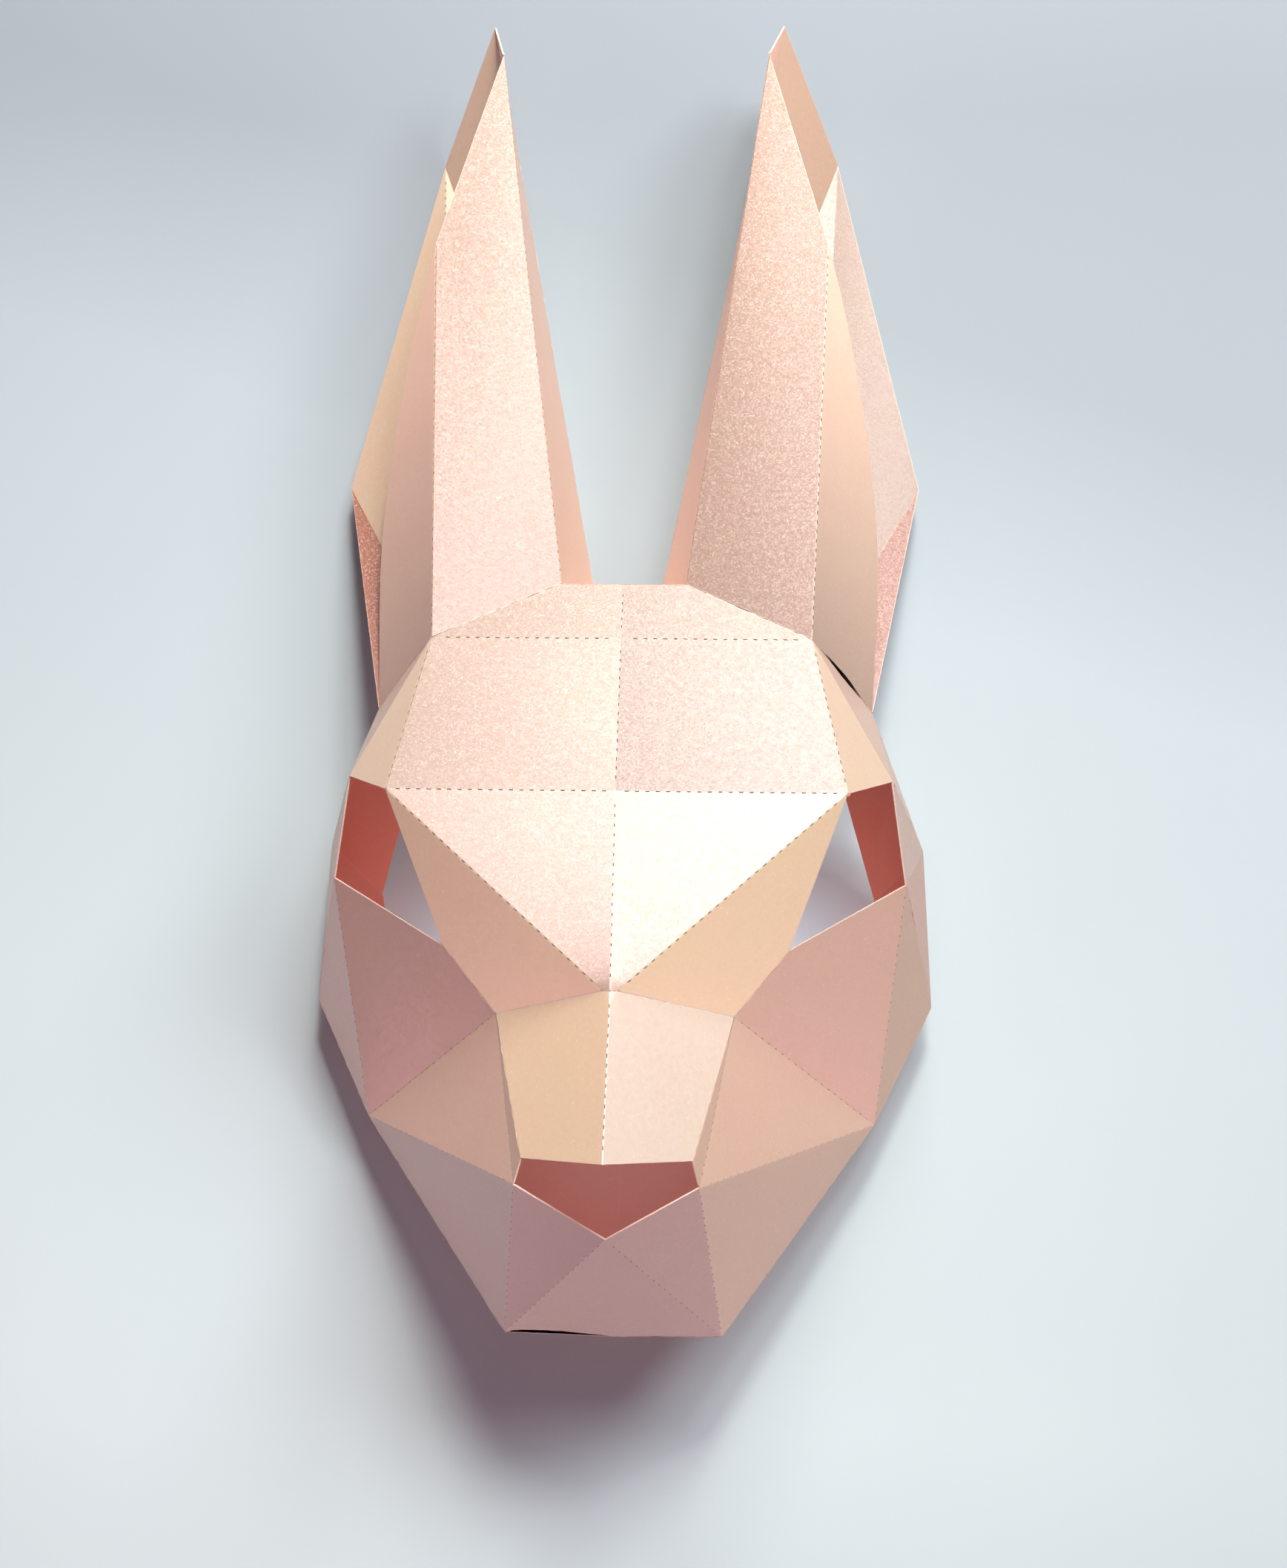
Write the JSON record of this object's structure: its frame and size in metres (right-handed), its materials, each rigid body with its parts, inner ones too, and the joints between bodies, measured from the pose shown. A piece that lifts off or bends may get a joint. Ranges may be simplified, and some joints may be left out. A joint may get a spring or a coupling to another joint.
{
  "type": "paper rabbit mask",
  "caption": "Faceted rabbit mask of folded pearl card, with an open back, open eyes and nose, and tall hollow ears.",
  "frame": {"origin": "bottom centre of the mask's box, on the surface that it lies on, face up", "axes": "+X to the viewer's right, +Y from the chin towards the ear tips, +Z out of the face towards the nose"},
  "size_m": [0.1942, 0.4242, 0.1005],
  "materials": {
    "face_card": "pearl satin",
    "jaw_card": "pearl satin",
    "ear_card": "pearl satin"
  },
  "bodies": {
    "root": {"face_sheet": "face_card", "nose_bridge": "face_card", "jaw_sheet": "jaw_card", "side_panel_left": "jaw_card", "side_panel_right": "jaw_card", "under_jaw_left": "jaw_card", "under_jaw_right": "jaw_card", "ear_front_left": "ear_card", "ear_front_right": "ear_card", "ear_back_left": "ear_card", "ear_back_right": "ear_card"}
  },
  "joints": []
}
